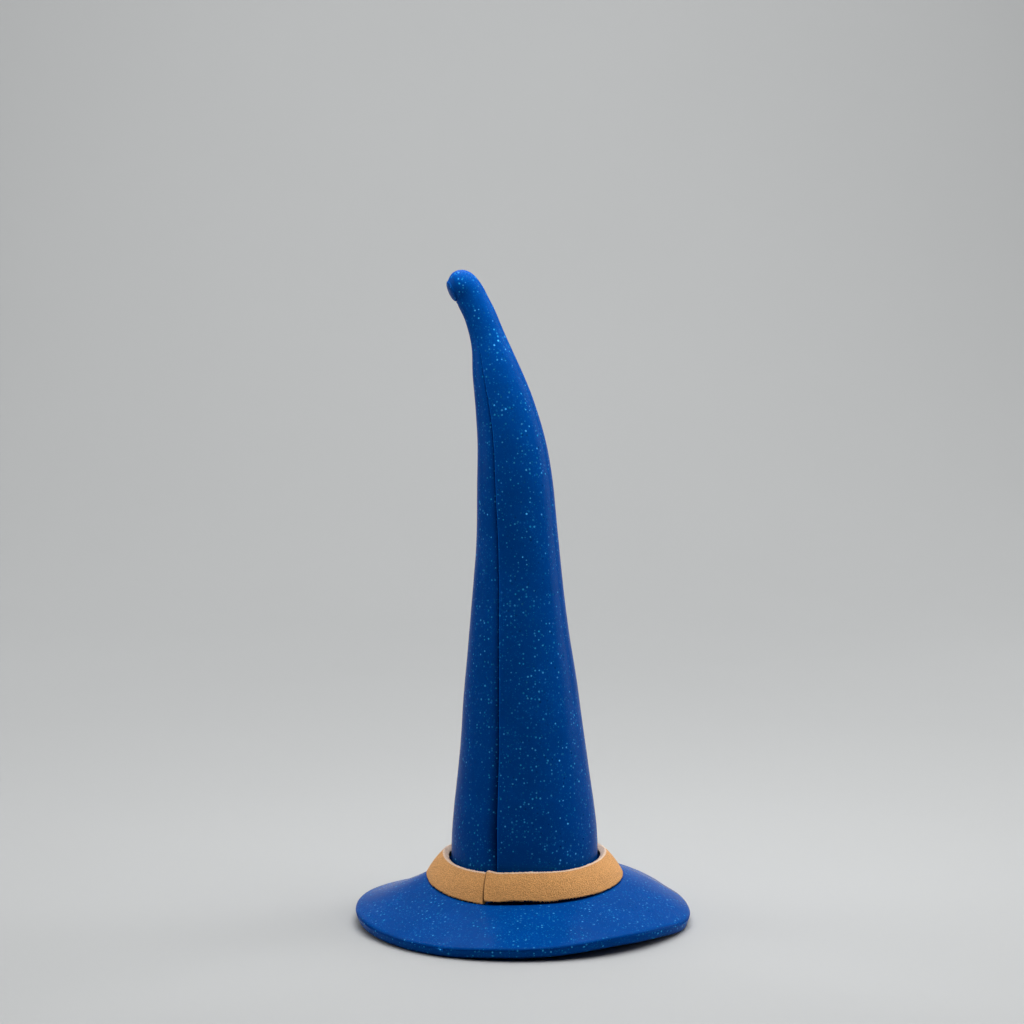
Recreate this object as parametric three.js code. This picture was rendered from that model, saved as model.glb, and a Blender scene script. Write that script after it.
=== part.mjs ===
// A miniature wizard's hat of rolled clay: a tall hollow crown with a lap seam down its front and a hooked
// tip, a round sloping brim with a low collar that the crown stands in, and a suede band round its foot.
// Millimetres, +Z up. The origin is at the middle of the brim, on the surface the hat rests on. The seam
// and the band's joint look along -Y, and the tip bends over to -X.
import * as THREE from 'three';

const CLAY = { color: 0x06408c, roughness: 0.42, metalness: 0.0 };
const SUEDE = { color: 0xc08a4e, roughness: 0.95, metalness: 0.0 };

// Azimuths are in degrees, counterclockwise from +X as seen from above.
const FULL_TURN = 360;
const FIRST_AZIMUTH = -180;
const SEAM_AZIMUTH = -113;

// The crown stands a little off the middle of the hand-cut brim.
const CROWN_X = 0.43;
const CROWN_SIDES = 48;
const CROWN_WALL = 1.4;
const RINGS_PER_ROW = 2;
const DIP_SPREAD = 24;

// One row for each section of the crown: its middle, how far it is turned over to the left, its outer
// radius, and how far the lower layer of clay dips under the lap. The rows of the tip fan round the crease
// under its hook.
const CROWN_ROWS = [
  { x: 0.43, y: 0.0, z: 3.4, tilt: 0, radius: 9.26, dip: 0.1 },
  { x: 0.43, y: 0.0, z: 6.8, tilt: 0, radius: 9.26, dip: 0.1 },
  { x: 0.43, y: 0.0, z: 10.0, tilt: 0, radius: 9.22, dip: 0.6 },
  { x: 0.41, y: 0.0, z: 14.0, tilt: 0, radius: 8.9, dip: 0.55 },
  { x: 0.34, y: 0.0, z: 21.0, tilt: 0, radius: 8.03, dip: 0.5 },
  { x: 0.12, y: 0.0, z: 29.0, tilt: 0, radius: 7.19, dip: 0.45 },
  { x: -0.08, y: 0.0, z: 37.0, tilt: 0, radius: 6.22, dip: 0.4 },
  { x: -0.16, y: 0.0, z: 43.0, tilt: 0, radius: 5.58, dip: 0.35 },
  { x: -0.2, y: 0.0, z: 48.5, tilt: 1, radius: 5.14, dip: 0.3 },
  { x: -0.47, y: 0.05, z: 55.0, tilt: 3, radius: 4.8, dip: 0.28 },
  { x: -0.86, y: 0.15, z: 60.0, tilt: 6, radius: 4.31, dip: 0.24 },
  { x: -1.72, y: 0.35, z: 65.0, tilt: 10, radius: 3.67, dip: 0.18 },
  { x: -2.81, y: 0.65, z: 69.4, tilt: 14, radius: 2.96, dip: 0.12 },
  { x: -3.69, y: 0.95, z: 73.0, tilt: 19, radius: 2.27, dip: 0.05 },
  { x: -4.66, y: 1.25, z: 76.0, tilt: 22, radius: 2.0, dip: 0 },
];
const TIP_ROWS = [
  { x: -5.52, y: 1.45, z: 77.83, tilt: 26, radius: 1.95, dip: 0 },
  { x: -6.1, y: 1.55, z: 78.95, tilt: 43, radius: 1.98, dip: 0 },
  { x: -6.7, y: 1.6, z: 79.62, tilt: 62, radius: 2.08, dip: 0 },
  { x: -7.25, y: 1.6, z: 79.88, tilt: 82, radius: 2.02, dip: 0 },
  { x: -7.82, y: 1.6, z: 79.72, tilt: 100, radius: 1.8, dip: 0 },
  { x: -8.2, y: 1.6, z: 79.35, tilt: 114, radius: 1.5, dip: 0 },
  { x: -8.45, y: 1.6, z: 79.24, tilt: 114, radius: 1.0, dip: 0 },
];
const TIP_END = { x: -8.55, y: 1.6, z: 79.19 };

// The hollow ends in a blunt point inside the narrow top of the crown.
const HOLLOW_ROWS = 12;
const HOLLOW_END = { x: -1.9, y: 0.45, z: 66.6 };

// One row for every 20 degrees of the brim, from -X round by the front: how far the top edge of the rim
// reaches, how far its foot is lifted off the surface (below nothing where it is pressed flat on it), how
// far the slope bows up (positive) or sags (negative), and the share of the sheet's thickness that is left
// at the rim.
const BRIM_STEP = 20;
const BRIM_ROWS = [
  { reach: 21.0, lift: 0.38, bow: -0.2, rim: 1 },
  { reach: 21.1, lift: 0.25, bow: -0.1, rim: 0.96 },
  { reach: 21.05, lift: 0.06, bow: 0, rim: 0.88 },
  { reach: 21.1, lift: -0.06, bow: 0, rim: 0.84 },
  { reach: 21.0, lift: 0.28, bow: 0, rim: 0.82 },
  { reach: 21.1, lift: 0.45, bow: 0, rim: 0.82 },
  { reach: 21.3, lift: 0.88, bow: 0.1, rim: 0.84 },
  { reach: 21.45, lift: 0.65, bow: 0.2, rim: 0.9 },
  { reach: 21.65, lift: 0.0, bow: 0.3, rim: 0.96 },
  { reach: 21.15, lift: -0.15, bow: 0.3, rim: 1 },
  { reach: 21.0, lift: -0.02, bow: 0.4, rim: 1 },
  { reach: 21.2, lift: 0.75, bow: 0.4, rim: 1 },
  { reach: 21.2, lift: 0.9, bow: 0.2, rim: 1 },
  { reach: 21.1, lift: 0.5, bow: 0, rim: 1 },
  { reach: 21.1, lift: 0.0, bow: 0, rim: 1 },
  { reach: 21.1, lift: -0.1, bow: -0.4, rim: 1 },
  { reach: 21.1, lift: 0.05, bow: -0.5, rim: 1 },
  { reach: 21.05, lift: 0.35, bow: -0.35, rim: 1 },
];
const BRIM_SIDES = 72;
const BRIM_THICKNESS = 1.45;
const BRIM_SLOPE_STEPS = 4;
const RIM_UNDERCUT = 0.45;
const RIM_ROUNDING = 0.15;
const FOOT_WIDTH = 0.9;
const UNDERSIDE_BEND = 4.3;
const BORE_RADIUS = 9.56;
const BORE_LOWER_EDGE = -1.2;
const COLLAR_HEIGHT = 1.8;
const COLLAR_TOP_RADIUS = 10.0;
const COLLAR_FOOT_RADIUS = 11.2;

// The band is a conical strip, bulged a little outward, with its two ends butted together at the joint. One
// row for every 30 degrees, from -X round by the front: the heights of its lower and upper edges.
const BAND_STEP = 30;
const BAND_ROWS = [
  { low: 5.65, high: 8.5 },
  { low: 4.95, high: 8.0 },
  { low: 4.55, high: 7.85 },
  { low: 4.75, high: 8.1 },
  { low: 4.83, high: 8.0 },
  { low: 5.15, high: 8.25 },
  { low: 5.5, high: 8.55 },
  { low: 5.6, high: 8.45 },
  { low: 5.6, high: 8.55 },
  { low: 5.5, high: 8.6 },
  { low: 5.3, high: 8.5 },
  { low: 5.35, high: 8.5 },
];
const BAND_LOW_RADIUS = 12.5;
const BAND_HIGH_RADIUS = 10.2;
const BAND_THICKNESS = 0.85;
const BAND_BULGE = 0.16;
const BAND_SIDES = 60;
const BAND_JOINT_AZIMUTH = -113.6;
const BAND_JOINT_SLANT = -3.5;
const BAND_JOINT_GAP = 1.2;
const BAND_ABOVE_BRIM = 0.3;

// Catmull-Rom value of one column at a place between rows: whole numbers land on the rows.
function rowValue(rows, place, column, pick) {
  const k = Math.floor(place);
  const f = place - k;
  const [a, b, c, d] = [k - 1, k, k + 1, k + 2].map((i) => rows[pick(i, rows.length)][column]);
  const bend = 2 * a - 5 * b + 4 * c - d;
  const twist = 3 * b - a - 3 * c + d;
  return 0.5 * (2 * b + (c - a) * f + bend * f * f + twist * f ** 3);
}

const clamped = (i, count) => THREE.MathUtils.clamp(i, 0, count - 1);
const wrapped = (i, count) => THREE.MathUtils.euclideanModulo(i, count);

function crownSection(place) {
  const value = (column) => rowValue(CROWN_ROWS, place, column, clamped);
  return Object.fromEntries(['x', 'y', 'z', 'tilt', 'radius', 'dip'].map((name) => [name, value(name)]));
}

function roundValue(rows, step, azimuth, column) {
  return rowValue(rows, (azimuth - FIRST_AZIMUTH) / step, column, wrapped);
}

function brimReach(azimuth) {
  return roundValue(BRIM_ROWS, BRIM_STEP, azimuth, 'reach');
}

function brimLift(azimuth) {
  return Math.max(0, roundValue(BRIM_ROWS, BRIM_STEP, azimuth, 'lift'));
}

// Height of the brim's top face beside the band, which the band's lower edge lies close over.
function brimHeight(azimuth) {
  return roundValue(BAND_ROWS, BAND_STEP, azimuth, 'low') - BAND_ABOVE_BRIM;
}

// Height of the brim's top face at a fraction of the way from the rim to the band.
function brimTop(azimuth, inward) {
  const rim = brimLift(azimuth) + BRIM_THICKNESS * roundValue(BRIM_ROWS, BRIM_STEP, azimuth, 'rim');
  const bow = roundValue(BRIM_ROWS, BRIM_STEP, azimuth, 'bow');
  return rim + (brimHeight(azimuth) - rim) * inward * (1 + bow - bow * inward);
}

// One closed ring of the crown. The lap's edge is a step at the seam: the last point is under the first.
function crownRing(section, inset, withSeam) {
  const tilt = THREE.MathUtils.degToRad(section.tilt);
  const across = new THREE.Vector3(Math.cos(tilt), 0, Math.sin(tilt));
  const away = new THREE.Vector3(0, 1, 0);
  const points = [];
  const count = withSeam ? CROWN_SIDES + 1 : CROWN_SIDES;
  for (let i = 0; i < count; i += 1) {
    const turned = (i / CROWN_SIDES) * FULL_TURN;
    const angle = THREE.MathUtils.degToRad(SEAM_AZIMUTH + turned);
    const dip = withSeam ? section.dip * Math.exp(-(((FULL_TURN - turned) / DIP_SPREAD) ** 2)) : 0;
    const radius = section.radius - inset - dip;
    const point = new THREE.Vector3(section.x, section.y, section.z);
    point.addScaledVector(across, radius * Math.cos(angle));
    point.addScaledVector(away, radius * Math.sin(angle));
    points.push(point);
  }
  return points;
}

// A closed skin from point and index lists, flat shaded.
function skin(points, faces) {
  const geometry = new THREE.BufferGeometry();
  geometry.setFromPoints(points);
  geometry.setIndex(faces.flat());
  geometry.computeVertexNormals();
  return geometry;
}

// Triangles between two rings of the same count that start at the given places in the point list.
function stitch(faces, from, to, count) {
  for (let i = 0; i < count; i += 1) {
    const j = (i + 1) % count;
    faces.push([from + i, from + j, to + j], [from + i, to + j, to + i]);
  }
}

function makeCrown() {
  const outer = [];
  const last = (CROWN_ROWS.length - 1) * RINGS_PER_ROW;
  for (let k = 0; k <= last; k += 1) outer.push(crownSection(k / RINGS_PER_ROW));
  outer.push(...TIP_ROWS);
  const hollow = outer.slice(0, (HOLLOW_ROWS - 1) * RINGS_PER_ROW + 1);

  const points = [];
  const faces = [];
  const outerCount = CROWN_SIDES + 1;
  const innerCount = CROWN_SIDES;
  outer.forEach((section) => points.push(...crownRing(section, 0, true)));
  const tip = points.push(new THREE.Vector3(TIP_END.x, TIP_END.y, TIP_END.z)) - 1;
  const inner = points.length;
  hollow.forEach((section) => points.push(...crownRing(section, CROWN_WALL, false)));
  const top = points.push(new THREE.Vector3(HOLLOW_END.x, HOLLOW_END.y, HOLLOW_END.z)) - 1;

  for (let k = 0; k < outer.length - 1; k += 1) stitch(faces, k * outerCount, (k + 1) * outerCount, outerCount);
  const lastOuter = (outer.length - 1) * outerCount;
  for (let i = 0; i < outerCount; i += 1) faces.push([lastOuter + i, lastOuter + ((i + 1) % outerCount), tip]);
  for (let k = 0; k < hollow.length - 1; k += 1) {
    stitch(faces, inner + (k + 1) * innerCount, inner + k * innerCount, innerCount);
  }
  const lastInner = inner + (hollow.length - 1) * innerCount;
  for (let i = 0; i < innerCount; i += 1) faces.push([lastInner + ((i + 1) % innerCount), lastInner + i, top]);

  // The lower edge: the outer ring has one point more than the inner one, at the foot of the lap's step.
  for (let i = 0; i < innerCount; i += 1) {
    const j = (i + 1) % innerCount;
    faces.push([i + 1, i, inner + i], [i + 1, inner + i, inner + j]);
  }
  faces.push([0, outerCount - 1, inner]);
  return skin(points, faces);
}

// The brim's cross-section at an azimuth, as [radius, height] pairs from the bore's lower edge round by the
// foot, the rim and the top face to the collar.
function brimProfile(azimuth) {
  const reach = brimReach(azimuth);
  const lift = brimLift(azimuth);
  const height = brimHeight(azimuth);
  const foot = reach - RIM_UNDERCUT;
  const slope = reach - BAND_LOW_RADIUS;
  const bendInward = 1 - UNDERSIDE_BEND / slope;
  const profile = [
    [BORE_RADIUS, height + BORE_LOWER_EDGE],
    [BAND_LOW_RADIUS, height - BRIM_THICKNESS],
    [BAND_LOW_RADIUS + UNDERSIDE_BEND, brimTop(azimuth, bendInward) - BRIM_THICKNESS],
    [foot - FOOT_WIDTH, lift],
    [foot, lift],
    [reach, brimTop(azimuth, 0) - RIM_ROUNDING],
  ];
  const start = RIM_ROUNDING / slope;
  for (let k = 0; k <= BRIM_SLOPE_STEPS; k += 1) {
    const inward = start + ((1 - start) * k) / BRIM_SLOPE_STEPS;
    profile.push([reach - inward * slope, brimTop(azimuth, inward)]);
  }
  profile.push([COLLAR_FOOT_RADIUS, height]);
  profile.push([COLLAR_TOP_RADIUS, height + COLLAR_HEIGHT]);
  profile.push([BORE_RADIUS, height + COLLAR_HEIGHT]);
  return profile;
}

function makeBrim() {
  const points = [];
  const faces = [];
  let count = 0;
  for (let k = 0; k < BRIM_SIDES; k += 1) {
    const azimuth = FIRST_AZIMUTH + (k / BRIM_SIDES) * FULL_TURN;
    const angle = THREE.MathUtils.degToRad(azimuth);
    const reach = brimReach(azimuth);
    const profile = brimProfile(azimuth);
    count = profile.length;
    profile.forEach(([radius, height]) => {
      const share = Math.min(1, (reach - radius) / (reach - BAND_LOW_RADIUS));
      const middle = CROWN_X * Math.max(0, share);
      points.push(new THREE.Vector3(middle + radius * Math.cos(angle), radius * Math.sin(angle), height));
    });
  }
  for (let k = 0; k < BRIM_SIDES; k += 1) stitch(faces, ((k + 1) % BRIM_SIDES) * count, k * count, count);
  return skin(points, faces);
}

// The strip's cross-section, as radius, height and the share of the way up the strip: its lower edge is
// trimmed level, close over the brim.
function bandProfile(azimuth) {
  const low = roundValue(BAND_ROWS, BAND_STEP, azimuth, 'low');
  const high = roundValue(BAND_ROWS, BAND_STEP, azimuth, 'high');
  const lean = Math.atan2(high - low, BAND_LOW_RADIUS - BAND_HIGH_RADIUS);
  const outward = [Math.sin(lean), Math.cos(lean)];
  const middle = [(BAND_LOW_RADIUS + BAND_HIGH_RADIUS) / 2, (low + high) / 2];
  const along = (point, distance) => [point[0] + outward[0] * distance, point[1] + outward[1] * distance];
  return [
    [BAND_LOW_RADIUS - BAND_THICKNESS / outward[0], low, 0],
    [BAND_LOW_RADIUS, low, 0],
    [...along(middle, BAND_BULGE), 0.5],
    [BAND_HIGH_RADIUS, high, 1],
    [...along([BAND_HIGH_RADIUS, high], -BAND_THICKNESS), 1],
    [...along(middle, BAND_BULGE - BAND_THICKNESS), 0.5],
  ];
}

function makeBand() {
  const points = [];
  const faces = [];
  let count = 0;
  const turn = FULL_TURN - BAND_JOINT_GAP;
  for (let k = 0; k <= BAND_SIDES; k += 1) {
    const azimuth = BAND_JOINT_AZIMUTH + BAND_JOINT_GAP / 2 + (k / BAND_SIDES) * turn;
    const profile = bandProfile(azimuth);
    count = profile.length;
    profile.forEach(([radius, height, share]) => {
      const angle = THREE.MathUtils.degToRad(azimuth + BAND_JOINT_SLANT * share);
      points.push(new THREE.Vector3(CROWN_X + radius * Math.cos(angle), radius * Math.sin(angle), height));
    });
  }
  for (let k = 0; k < BAND_SIDES; k += 1) stitch(faces, (k + 1) * count, k * count, count);
  const end = BAND_SIDES * count;
  for (let i = 1; i < count - 1; i += 1) faces.push([0, i, i + 1], [end, end + i + 1, end + i]);
  return skin(points, faces);
}

function piece(name, geometry, finish) {
  const mesh = new THREE.Mesh(geometry, new THREE.MeshStandardMaterial({ ...finish, flatShading: true }));
  mesh.name = name;
  return mesh;
}

const hat = new THREE.Group();
hat.add(piece('crown', makeCrown(), CLAY));
hat.add(piece('brim', makeBrim(), CLAY));
hat.add(piece('hat_band', makeBand(), SUEDE));

export default hat;
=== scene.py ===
"""A miniature wizard's hat of rolled glitter clay, with a tan suede band, resting on a plain pale floor.

The crown is one rolled sheet with a lap seam down its front and a hooked tip. It stands in the low collar of a
sloping round brim, and a strip of suede with a butt joint is wrapped round its foot. The tables are in
millimetres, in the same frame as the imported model, and azimuths are in degrees, counterclockwise from +X.
"""

from collections import namedtuple
from math import cos, radians, sin

import bpy
import numpy as np
from bpy.props import FloatProperty, FloatVectorProperty, PointerProperty
from mathutils import Matrix, Vector, noise


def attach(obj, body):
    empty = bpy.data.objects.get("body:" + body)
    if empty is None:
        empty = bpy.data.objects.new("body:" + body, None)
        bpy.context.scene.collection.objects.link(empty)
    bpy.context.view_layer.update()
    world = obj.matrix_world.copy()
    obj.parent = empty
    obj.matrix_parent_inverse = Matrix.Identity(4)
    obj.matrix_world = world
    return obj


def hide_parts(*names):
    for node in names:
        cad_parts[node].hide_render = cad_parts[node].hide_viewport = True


bl_info = {
    "name": "Miniature wizard hat",
    "version": (1, 0, 0),
    "blender": (4, 5, 0),
    "location": "3D View > Sidebar > Wizard hat",
    "description": "Builds a small clay wizard's hat with a suede band, and the stage it is shown on",
    "category": "Add Mesh",
}

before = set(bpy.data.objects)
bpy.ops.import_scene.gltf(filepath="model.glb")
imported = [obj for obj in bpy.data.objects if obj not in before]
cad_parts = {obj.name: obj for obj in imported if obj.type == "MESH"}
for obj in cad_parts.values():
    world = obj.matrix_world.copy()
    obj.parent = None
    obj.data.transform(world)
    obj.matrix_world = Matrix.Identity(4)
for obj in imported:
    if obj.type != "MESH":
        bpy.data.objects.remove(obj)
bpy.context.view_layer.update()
MM = 0.001
FULL_TURN = 360.0
FIRST_AZIMUTH = -180.0

# Where the crown stands on the hand-cut brim, off its middle.
CROWN_X = 0.43

# One row for each section of the crown: its middle, how far it is turned over to the left and towards the
# front, its outer radius, how deep the lower layer dips under the lap, and the azimuth of the lap's edge.
Section = namedtuple("Section", "x y z tilt turn radius dip seam")
CROWN_ROWS = [Section(*row) for row in (
    (0.43, 0.0, 3.4, 0, 0, 9.26, 0.1, -111.7), (0.43, 0.0, 6.8, 0, 0, 9.26, 0.3, -111.7),
    (0.43, 0.0, 10.0, 0, 0, 9.22, 0.7, -111.7), (0.41, 0.0, 14.0, 0, 0, 8.9, 0.62, -112.2),
    (0.34, 0.0, 21.0, 0, 0, 8.03, 0.48, -112.3), (0.12, 0.0, 29.0, 0, 0, 7.19, 0.42, -112.3),
    (-0.08, 0.0, 37.0, 0, 0, 6.22, 0.36, -113.4), (-0.16, 0.0, 43.0, 0, 0, 5.58, 0.32, -115.2),
    (-0.2, 0.0, 48.5, 1, 0, 5.14, 0.3, -118.2), (-0.47, 0.05, 55.0, 3, 0, 4.8, 0.28, -120.5),
    (-0.86, 0.15, 60.0, 6, 0, 4.31, 0.26, -121), (-1.72, 0.35, 65.0, 10, 0, 3.67, 0.22, -121.5),
    (-2.81, 0.65, 69.4, 14, 0, 2.96, 0.16, -122), (-3.69, 0.95, 73.0, 19, 0, 2.27, 0.08, -122.5),
    (-4.66, 1.25, 76.0, 22, 0, 2.0, 0.0, -125), (-5.52, 1.45, 77.83, 26, 0, 1.95, 0.0, -125),
    (-6.1, 1.55, 78.95, 43, 0, 1.98, 0.0, -125), (-6.7, 1.6, 79.62, 62, 0, 2.08, 0.0, -125),
    (-7.25, 1.6, 79.88, 82, 2, 2.02, 0.0, -125), (-7.82, 1.58, 79.72, 100, 6, 1.8, 0.0, -125),
    (-8.16, 1.55, 79.22, 114, 11, 1.42, 0.0, -125),
)]
CROWN_RINGS_PER_ROW = 13
CROWN_COLUMNS = 230
CAP_RINGS = 12
CAP_DEPTH = 0.42
CAP_FLATNESS = 0.7
CAP_CREASE = 0.05
HOLLOW_ROWS = 12
HOLLOW_RINGS_PER_ROW = 3
HOLLOW_END = (-1.9, 0.45, 66.6)
FOOT_ROUNDING = 0.2
FOOT_STEPS = 9

# The waves that fingers left in the crown: broad ones, and ripples as a share of their height.
CROWN_WAVE_PITCH = 7.0
CROWN_RIPPLE_PITCH = 2.2
CROWN_RIPPLE_SHARE = 0.3

# The lap: the width of the narrow slot beside it and the share that it keeps where nothing dips, the width of the
# wide hollow for each millimetre of dip and its least width, their depths as shares of the dip, the raised lip of
# the cut edge, its overhang with the dip from which that is whole, the most that the edge is rounded as a share of
# its depth, how closely the points crowd beside it, and how far it strays sideways.
LAP_SLOT = 0.3
LAP_LEAST_SLOT = 0.4
LAP_WIDE = 1.35
LAP_LEAST_WIDE = 0.001
LAP_SLOT_SHARE = 0.3
LAP_WIDE_SHARE = 1.3
LAP_LIP = 0.05
LAP_LIP_WIDTH = 0.35
LAP_UNDERCUT = 0.2
LAP_FULL_DIP = 0.4
LAP_MOST_ROUNDING = 0.45
LAP_EDGE_STEPS = 5
LAP_END_CROWDING = 0.86
LAP_WOBBLE = 0.5
LAP_WOBBLE_PITCH = 5.0

# How far the groove beside the lap is inset where its painted shade is full, and how much darker it is painted.
GROOVE_DEPTH = 0.95
GROOVE_PAINTED_SHADE = 0.75

# One row for every 20 degrees of the brim, from -X round by the front: how far the rim reaches, how far its foot
# is lifted off the floor (below nothing where it is pressed flat), how far the slope bows up, and the share of
# the sheet's thickness that is left at the rim.
BrimRow = namedtuple("BrimRow", "reach lift bow rim")
BRIM_STEP = 20.0
BRIM_ROWS = (
    (21.0, 0.38, -0.2, 1), (21.1, 0.25, -0.1, 0.96), (21.05, 0.06, 0, 0.88),
    (21.1, -0.06, 0, 0.84), (21.0, 0.28, 0, 0.82), (21.1, 0.45, 0, 0.82),
    (21.3, 0.88, 0.1, 0.84), (21.45, 0.65, 0.2, 0.9), (21.65, 0.0, 0.3, 0.96),
    (21.15, -0.15, 0.3, 1), (21.0, -0.02, 0.4, 1), (21.2, 0.75, 0.4, 1),
    (21.2, 0.9, 0.2, 1), (21.1, 0.5, 0, 1), (21.1, 0.0, 0, 1),
    (21.1, -0.1, -0.4, 1), (21.1, 0.05, -0.5, 1), (21.05, 0.35, -0.35, 1),
)
BRIM_COLUMNS = 560
CRUMB_RADIUS = 21.0
CRUMB_START = 20.0
CRUMB_FADE = 0.5

# Crumbs of clay and dents on the cut rim: where each is, its half width and half height, and how far it stands
# out (below nothing for a dent).
Crumb = namedtuple("Crumb", "azimuth height width depth push")
CRUMBS = (
    Crumb(-117.2, 0.75, 0.5, 0.28, 0.14),
    Crumb(-115.6, 1.15, 0.22, 0.3, 0.1),
    Crumb(-116.4, 1.3, 0.16, 0.2, -0.14),
    Crumb(-104.0, 0.9, 0.7, 0.3, -0.05),
    Crumb(-78.0, 0.8, 0.9, 0.35, 0.05),
    Crumb(-52.0, 1.5, 0.6, 0.3, -0.06),
)
RIM_UNDERCUT = 0.45
RIM_BULGE = 0.05
RIM_STEPS = 9
FOOT_WIDTH = 0.9
UNDERSIDE_BEND = 4.3
BORE_RADIUS = 9.56
BORE_LOWER_EDGE = -1.2
COLLAR_HEIGHT = 1.8
COLLAR_TOP_RADIUS = 10.0
COLLAR_FOOT_RADIUS = 11.2
COLLAR_FOOT_ROUNDING = 0.4
COLLAR_TOP_ROUNDING = 0.12
BORE_STEPS = 8
SLOPE_STEPS = 26
CORNER_STEPS = 5

# How much less the rim's lower edge is rounded than its upper one, where the slope goes on beyond the upper
# rounding, and how far up the slope the direction of that rounding is taken.
LOWER_ROUNDING_SHARE = 0.7
BEYOND_ROUNDING = 1.4
SLOPE_SAMPLE = 0.06

# The waves in the brim and the nicks in its rim: their pitches, their heights as shares of the hand waves, and
# where each of them fades out.
BRIM_WAVE_PITCH = 6.0
BRIM_WAVE_SHARE = 0.9
BRIM_WAVE_FADE = 3.0
BRIM_WAVE_RISE = 0.5
NICK_PITCH = 2.6
NICK_SHARE = 0.5
NICK_START = 19.0
NICK_FADE = 1.5

# One row for every 30 degrees of the band, from -X round by the front: the heights of its two edges.
BandRow = namedtuple("BandRow", "low high")
BAND_STEP = 30.0
BAND_ROWS = (
    (5.65, 8.5), (4.95, 8.0), (4.55, 7.85), (4.75, 8.1), (4.83, 8.0), (5.15, 8.25),
    (5.5, 8.55), (5.6, 8.45), (5.6, 8.55), (5.5, 8.6), (5.3, 8.5), (5.35, 8.5),
)
BAND_LOW_RADIUS = 12.5
BAND_HIGH_RADIUS = 10.2
BAND_BULGE = 0.16
BAND_ABOVE_BRIM = 0.2
BAND_COLUMNS = 1100
BAND_FACE_STEPS = 34
BAND_INNER_STEPS = 8
BAND_CORNER = 0.16
BAND_CORNER_STEPS = 4
BAND_EDGE_SHARE = 0.035
JOINT_LOW_AZIMUTH = -113.6
JOINT_HIGH_AZIMUTH = -117.1
JOINT_BOW = 0.7

# The wave along the band's lower edge, as heights at azimuths, the fray of the cut edges, how far up and down the
# strip it reaches, and the nap, which stands outwards and up.
WAVE = (
    (-150, 0.0), (-115, -0.1), (-113.6, 0.04), (-107, 0.14), (-98, 0.33), (-88, 0.27), (-76, 0.06),
    (-66, 0.18), (-50, 0.08), (-38, 0.0),
)
FRAY_DEPTH = 0.16
FRAY_PITCH = 0.2
LOW_FRAY_REACH = 0.12
HIGH_FRAY_REACH = 0.08
HIGH_FRAY_SHARE = 0.5
NAP_HEIGHT = 0.03
NAP_PITCH = 0.17
NAP_OUT = 0.8
NAP_UP = 0.6

# At the joint, how far the strip's overlying end stands out and is lifted, how far its other end sags, and the
# length over which each of these dies away.
END_RISE = 0.14
END_RISE_LENGTH = 0.6
END_LIFT = 0.2
END_LIFT_LENGTH = 1.2
HIGH_LIFT_SHARE = 1.2
END_SAG = 0.1
END_SAG_LENGTH = 0.9


def length_setting(name, description, default, **limits):
    return FloatProperty(name=name, description=description, default=default, unit="LENGTH", precision=5, **limits)


def colour_setting(name, description, default):
    return FloatVectorProperty(
        name=name, description=description, subtype="COLOR", size=3, default=default, min=0.0, max=1.0
    )


def power_setting(name, description, default):
    return FloatProperty(name=name, description=description, default=default, min=0.0, subtype="POWER")


class WizardHatSizes(bpy.types.PropertyGroup):
    """The sizes that a user would change. Each is a real length."""

    crown_wall: length_setting("Crown wall", "Thickness of the rolled clay sheet", 1.4 * MM, min=0.5 * MM)
    lap_rounding: length_setting("Lap rounding", "Radius of the lap's exposed edge", 0.12 * MM, min=0.02 * MM)
    brim_thickness: length_setting("Brim thickness", "Thickness of the brim at its rim", 1.45 * MM, min=0.5 * MM)
    rim_rounding: length_setting("Rim rounding", "Radius of the brim's upper edge", 0.42 * MM, min=0.02 * MM)
    band_thickness: length_setting("Band thickness", "Thickness of the suede strip", 0.85 * MM, min=0.2 * MM)
    joint_gap: length_setting("Joint gap", "Width of the gap between the strip's two ends", 0.25 * MM, min=0.01 * MM)
    hand_waves: length_setting("Hand waves", "Height of the waves that fingers left in the clay", 0.05 * MM, min=0.0)


class WizardHatFinish(bpy.types.PropertyGroup):
    """The colours of the hat and its floor, and the sizes of the glitter."""

    clay: colour_setting("Clay", "Colour of the clay", (0.0004, 0.057, 0.285))
    grain: colour_setting("Glitter", "Colour of the glitter grains", (0.015, 0.38, 0.78))
    pale_grain: colour_setting("Pale glitter", "Colour of the grains that look paler than the rest", (0.06, 0.46, 0.98))
    grain_radius: length_setting("Glitter radius", "Radius of the largest glitter grains", 0.16 * MM, min=0.01 * MM)
    grain_spacing: length_setting("Glitter spacing", "Mean distance between glitter grains", 0.48 * MM, min=0.1 * MM)
    suede: colour_setting("Suede", "Colour of the suede's raised nap", (0.95, 0.475, 0.16))
    suede_deep: colour_setting("Suede hollows", "Colour between the fibres of the suede", (0.47, 0.22, 0.07))
    # The strip's top edge is painted pale as a highlight, where it catches the light from above.
    suede_edge: colour_setting("Suede edge", "Colour of the strip's pale cut edge", (0.95, 0.7, 0.52))
    floor: colour_setting("Floor", "Colour of the floor and the backdrop", (0.44, 0.448, 0.45))


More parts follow.
